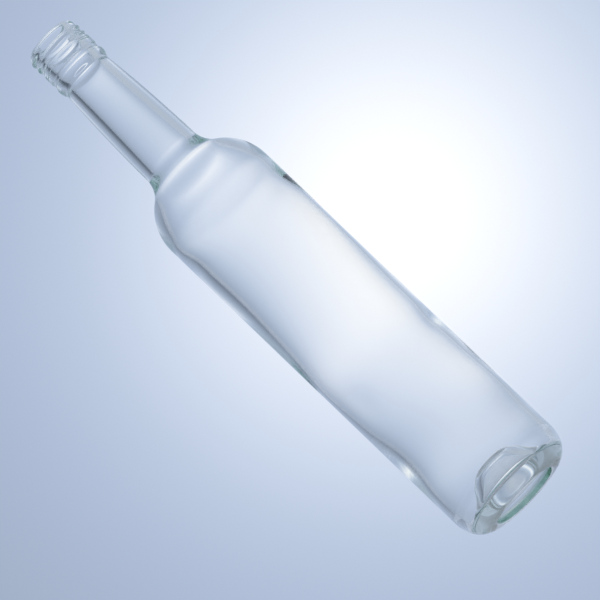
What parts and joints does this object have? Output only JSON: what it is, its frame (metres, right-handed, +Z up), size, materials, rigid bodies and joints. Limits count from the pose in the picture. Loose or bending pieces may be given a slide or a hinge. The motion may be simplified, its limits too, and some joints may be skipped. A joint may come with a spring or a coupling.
{
  "type": "glass oil bottle",
  "caption": "Tall round clear glass bottle with a domed shoulder, long tapering neck, screw finish with a collar, and a deep push-up base; open and empty.",
  "frame": {"origin": "centre of the flat ring that the bottle stands on", "axes": "+Z up along the bottle's axis from the base to the lip; +X to the right of someone who faces the bottle along +Y"},
  "size_m": [0.07, 0.07, 0.3465],
  "materials": {
    "clear_glass": "polished clear flint glass with a faint green tint where it is thick"
  },
  "bodies": {
    "root": {"bottle": "clear_glass"}
  },
  "joints": []
}
